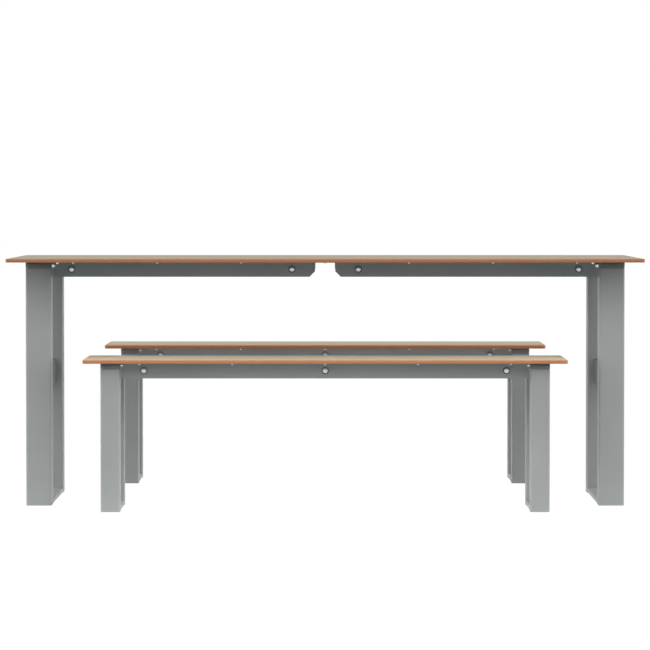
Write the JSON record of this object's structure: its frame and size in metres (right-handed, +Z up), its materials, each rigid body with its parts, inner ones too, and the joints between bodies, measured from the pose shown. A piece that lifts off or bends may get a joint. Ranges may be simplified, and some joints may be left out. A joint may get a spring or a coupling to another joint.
{
  "type": "table with benches",
  "caption": "Long refectory table with a thin laminate top on grey steel end frames, and matching free-standing benches.",
  "frame": {"origin": "on the floor, at the middle of the set's outline in plan", "axes": "+X along the table's length, +Y from the front bench towards the rear bench, +Z up"},
  "size_m": [2, 1.477, 0.782],
  "materials": {
    "laminate": "satin beige faces over a brown core",
    "steel": "fine grey powder coat",
    "stainless": "plain stainless",
    "plastic": "matt black tube plugs"
  },
  "bodies": {
    "table": {"table_top": "laminate", "table_front_rail": "steel", "table_rear_rail": "steel", "table_left_outer_spacer": "steel", "table_left_inner_spacer": "steel", "table_right_inner_spacer": "steel", "table_right_outer_spacer": "steel", "table_left_outer_tie_rod": "stainless", "table_left_inner_tie_rod": "stainless", "table_right_inner_tie_rod": "stainless", "table_right_outer_tie_rod": "stainless", "table_left_front_post": "steel", "table_left_rear_post": "steel", "table_left_runner": "steel", "table_left_top_bar": "steel", "table_left_crossbar": "steel", "table_right_front_post": "steel", "table_right_rear_post": "steel", "table_right_runner": "steel", "table_right_top_bar": "steel", "table_right_crossbar": "steel"},
    "front_bench": {"front_bench_seat": "laminate", "front_bench_front_rail": "steel", "front_bench_rear_rail": "steel", "front_bench_left_spacer": "steel", "front_bench_middle_spacer": "steel", "front_bench_right_spacer": "steel", "front_bench_left_tie_rod": "stainless", "front_bench_middle_tie_rod": "stainless", "front_bench_right_tie_rod": "stainless", "front_bench_left_front_post": "steel", "front_bench_left_rear_post": "steel", "front_bench_left_runner": "steel", "front_bench_left_top_bar": "steel", "front_bench_right_front_post": "steel", "front_bench_right_rear_post": "steel", "front_bench_right_runner": "steel", "front_bench_right_top_bar": "steel"},
    "rear_bench": {"rear_bench_seat": "laminate", "rear_bench_front_rail": "steel", "rear_bench_rear_rail": "steel", "rear_bench_left_spacer": "steel", "rear_bench_middle_spacer": "steel", "rear_bench_right_spacer": "steel", "rear_bench_left_tie_rod": "stainless", "rear_bench_middle_tie_rod": "stainless", "rear_bench_right_tie_rod": "stainless", "rear_bench_left_front_post": "steel", "rear_bench_left_rear_post": "steel", "rear_bench_left_runner": "steel", "rear_bench_left_top_bar": "steel", "rear_bench_right_front_post": "steel", "rear_bench_right_rear_post": "steel", "rear_bench_right_runner": "steel", "rear_bench_right_top_bar": "steel"}
  },
  "joints": [
    {"name": "front_bench_slide", "type": "slide", "parent": "table", "child": "front_bench", "axis": [0, 1, 0], "range_m": [-0.38, 0.185]},
    {"name": "rear_bench_slide", "type": "slide", "parent": "table", "child": "rear_bench", "axis": [0, -1, 0], "range_m": [0, 0.562]}
  ]
}
